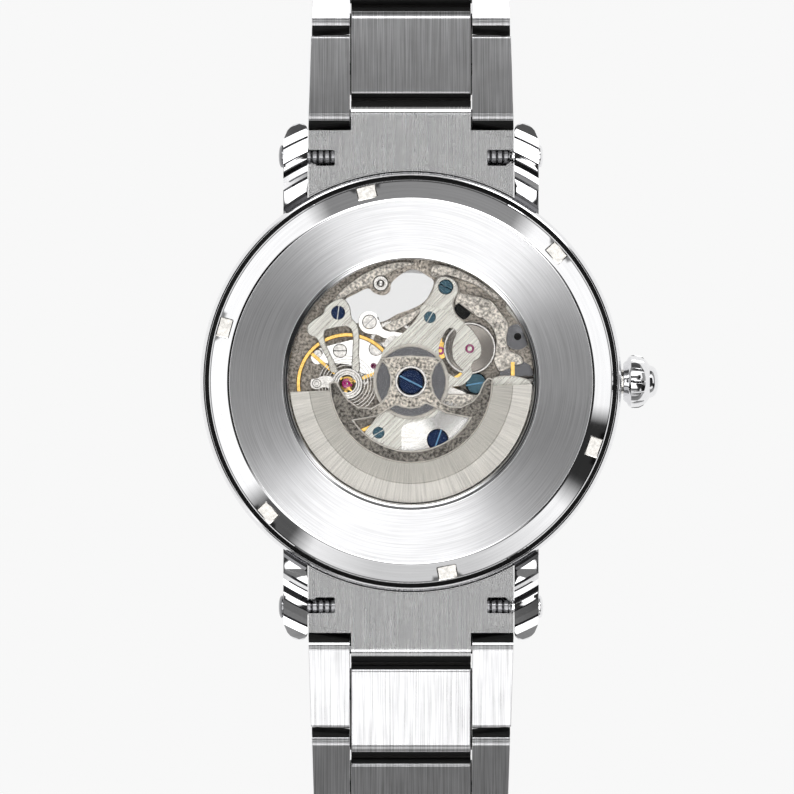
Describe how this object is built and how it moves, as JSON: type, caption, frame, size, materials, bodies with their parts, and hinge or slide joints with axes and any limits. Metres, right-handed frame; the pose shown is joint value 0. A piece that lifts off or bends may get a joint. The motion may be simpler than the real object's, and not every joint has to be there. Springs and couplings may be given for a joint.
{
  "type": "wristwatch",
  "caption": "Round skeleton wristwatch with a glazed back, a swinging rotor, an open-worked movement and a hinged three-link steel bracelet, lying dial down.",
  "frame": {"origin": "centre of the front crystal's outer face, on which the watch lies", "axes": "+Z out of the case back, +X towards the crown, +Y towards the 6 o'clock lugs"},
  "size_m": [0.0446, 0.1592, 0.011],
  "materials": {
    "polished_steel": "polished stainless steel",
    "brushed_steel": "satin brushed stainless steel",
    "steel": "fine ground steel",
    "nickel": "nickel-plated brass, straight grained",
    "rotor_metal": "nickel-plated brass with a radial grain",
    "gilt_brass": "polished gilt brass",
    "blued_steel": "polished blued steel",
    "dial_silver": "satin silvered plate with open windows",
    "holder": "dull dark anodised",
    "crystal": "clear polished",
    "gasket": "matt black"
  },
  "bodies": {
    "case": {"case_middle": "polished_steel", "bezel": "polished_steel", "front_crystal": "crystal", "case_back": "brushed_steel", "back_crystal": "crystal", "case_back_gasket": "gasket", "crown_tube": "brushed_steel", "lug_bar_6": "brushed_steel", "lug_bar_12": "brushed_steel", "lug_screw_6": "brushed_steel", "lug_screw_12": "brushed_steel", "end_link_6": "brushed_steel", "end_link_12": "brushed_steel", "movement_holder": "holder", "mainplate": "nickel", "dial": "dial_silver", "balance_bridge": "nickel", "regulator": "steel", "hairspring": "steel", "train_bridge": "polished_steel", "barrel_bridge": "nickel", "automatic_bridge": "nickel"},
    "rotor": {"rotor": "rotor_metal", "rotor_screw": "blued_steel"},
    "reversing_wheel": {"reversing_wheel": "steel"},
    "ratchet": {"ratchet_wheel": "steel", "ratchet_screw": "blued_steel"},
    "barrel": {"barrel": "steel"},
    "centre_wheel": {"centre_wheel": "gilt_brass", "minute_hand": "blued_steel"},
    "hour_hand": {"hour_hand": "blued_steel"},
    "seconds_hand": {"seconds_hand": "blued_steel"},
    "third_wheel": {"third_wheel": "gilt_brass"},
    "fourth_wheel": {"fourth_wheel": "gilt_brass"},
    "escape_wheel": {"escape_wheel": "steel"},
    "pallet_fork": {"pallet_fork": "steel"},
    "balance": {"balance_wheel": "gilt_brass"},
    "setting_lever": {"setting_lever": "brushed_steel"},
    "crown": {"crown": "polished_steel", "winding_stem": "brushed_steel"},
    "link_6_1": {"centre_link_6_1": "brushed_steel", "outer_links_6_1": "brushed_steel"},
    "link_6_2": {"centre_link_6_2": "brushed_steel", "outer_links_6_2": "brushed_steel"},
    "link_6_3": {"centre_link_6_3": "brushed_steel", "outer_links_6_3": "brushed_steel"},
    "link_6_4": {"centre_link_6_4": "brushed_steel", "outer_links_6_4": "brushed_steel"},
    "link_12_1": {"centre_link_12_1": "brushed_steel", "outer_links_12_1": "brushed_steel"},
    "link_12_2": {"centre_link_12_2": "brushed_steel", "outer_links_12_2": "brushed_steel"},
    "link_12_3": {"centre_link_12_3": "brushed_steel", "outer_links_12_3": "brushed_steel"},
    "link_12_4": {"centre_link_12_4": "brushed_steel", "outer_links_12_4": "brushed_steel"},
    "clasp_cover": {"clasp_cover": "brushed_steel"},
    "clasp_long_blade": {"clasp_long_blade": "polished_steel"},
    "clasp_short_blade": {"clasp_short_blade": "polished_steel"}
  },
  "joints": [
    {"name": "rotor_spin", "type": "hinge", "parent": "case", "child": "rotor", "pos_m": [0, 0, 0.0088], "axis": [0, 0, 1], "continuous": true},
    {"name": "reversing_wheel_spin", "type": "hinge", "parent": "case", "child": "reversing_wheel", "pos_m": [0.0057, 0.00324, 0.0077], "axis": [0, 0, 1], "continuous": true},
    {"name": "ratchet_spin", "type": "hinge", "parent": "case", "child": "ratchet", "pos_m": [0.0026, -0.00565, 0.0077], "axis": [0, 0, 1], "continuous": true},
    {"name": "fourth_wheel_spin", "type": "hinge", "parent": "case", "child": "fourth_wheel", "pos_m": [-0.0017, 0.0036, 0.0063], "axis": [0, 0, 1], "continuous": true},
    {"name": "centre_wheel_spin", "type": "hinge", "parent": "case", "child": "centre_wheel", "pos_m": [0, 0, 0.00525], "axis": [0, 0, 1], "continuous": true},
    {"name": "third_wheel_spin", "type": "hinge", "parent": "case", "child": "third_wheel", "pos_m": [0.0028, 0.00305, 0.0073], "axis": [0, 0, 1], "continuous": true},
    {"name": "escape_wheel_spin", "type": "hinge", "parent": "case", "child": "escape_wheel", "pos_m": [-0.0037, 0.0015, 0.0056], "axis": [0, 0, 1], "continuous": true},
    {"name": "barrel_spin", "type": "hinge", "parent": "case", "child": "barrel", "pos_m": [0.0026, -0.00565, 0.0062], "axis": [0, 0, 1], "continuous": true},
    {"name": "hour_hand_spin", "type": "hinge", "parent": "case", "child": "hour_hand", "pos_m": [0, 0, 0.0026], "axis": [0, 0, 1], "continuous": true},
    {"name": "seconds_hand_spin", "type": "hinge", "parent": "case", "child": "seconds_hand", "pos_m": [0, 0, 0.0019], "axis": [0, 0, 1], "continuous": true},
    {"name": "pallet_fork_rock", "type": "hinge", "parent": "case", "child": "pallet_fork", "pos_m": [-0.00505, 0.0006, 0.0056], "axis": [0, 0, 1], "range_deg": [-5, 5]},
    {"name": "balance_swing", "type": "hinge", "parent": "case", "child": "balance", "pos_m": [-0.0062, -0.0002, 0.0073], "axis": [0, 0, 1], "range_deg": [-270, 270], "stiffness_Nm_per_rad": 0.0000004, "deforming": ["hairspring"]},
    {"name": "crown_pull", "type": "slide", "parent": "case", "child": "setting_lever", "axis": [1, 0, 0], "range_m": [0, 0.0012]},
    {"name": "crown_turn", "type": "hinge", "parent": "setting_lever", "child": "crown", "pos_m": [0.02, 0, 0.006], "axis": [1, 0, 0], "continuous": true},
    {"name": "bracelet_6_1", "type": "hinge", "parent": "case", "child": "link_6_1", "pos_m": [0, 0.0259, 0.0076], "axis": [1, 0, 0], "range_deg": [-1, 39]},
    {"name": "bracelet_6_2", "type": "hinge", "parent": "link_6_1", "child": "link_6_2", "pos_m": [0, 0.03503, 0.00583], "axis": [1, 0, 0], "range_deg": [-6, 34]},
    {"name": "bracelet_6_3", "type": "hinge", "parent": "link_6_2", "child": "link_6_3", "pos_m": [0, 0.04392, 0.00311], "axis": [1, 0, 0], "range_deg": [-18.6, 21.4]},
    {"name": "bracelet_6_4", "type": "hinge", "parent": "link_6_3", "child": "link_6_4", "pos_m": [0, 0.05307, 0.00143], "axis": [1, 0, 0], "range_deg": [-22.4, 17.6]},
    {"name": "bracelet_12_1", "type": "hinge", "parent": "case", "child": "link_12_1", "pos_m": [0, -0.0259, 0.0076], "axis": [-1, 0, 0], "range_deg": [-1, 39]},
    {"name": "bracelet_12_2", "type": "hinge", "parent": "link_12_1", "child": "link_12_2", "pos_m": [0, -0.03503, 0.00583], "axis": [-1, 0, 0], "range_deg": [-6, 34]},
    {"name": "bracelet_12_3", "type": "hinge", "parent": "link_12_2", "child": "link_12_3", "pos_m": [0, -0.04392, 0.00311], "axis": [-1, 0, 0], "range_deg": [-18.6, 21.4]},
    {"name": "bracelet_12_4", "type": "hinge", "parent": "link_12_3", "child": "link_12_4", "pos_m": [0, -0.05307, 0.00143], "axis": [-1, 0, 0], "range_deg": [-22.4, 17.6]},
    {"name": "clasp_cover_hinge", "type": "hinge", "parent": "link_12_4", "child": "clasp_cover", "pos_m": [0, -0.06237, 0.00143], "axis": [-1, 0, 0], "range_deg": [0, 15]},
    {"name": "clasp_long_blade_hinge", "type": "hinge", "parent": "clasp_cover", "child": "clasp_long_blade", "pos_m": [0, -0.09317, 0.00178], "axis": [1, 0, 0], "range_deg": [0, 160]},
    {"name": "clasp_short_blade_hinge", "type": "hinge", "parent": "clasp_long_blade", "child": "clasp_short_blade", "pos_m": [0, -0.06677, 0.00288], "axis": [-1, 0, 0], "range_deg": [0, 150]}
  ],
  "couplings": [
    {"joint": "third_wheel_spin", "follows": "fourth_wheel_spin", "ratio": -0.13333},
    {"joint": "centre_wheel_spin", "follows": "fourth_wheel_spin", "ratio": 0.016667},
    {"joint": "hour_hand_spin", "follows": "fourth_wheel_spin", "ratio": 0.0013889},
    {"joint": "seconds_hand_spin", "follows": "fourth_wheel_spin", "ratio": 1},
    {"joint": "escape_wheel_spin", "follows": "fourth_wheel_spin", "ratio": -12},
    {"joint": "barrel_spin", "follows": "fourth_wheel_spin", "ratio": -0.0020833},
    {"joint": "reversing_wheel_spin", "follows": "rotor_spin", "ratio": -1.583},
    {"joint": "ratchet_spin", "follows": "rotor_spin", "ratio": 0.01}
  ]
}
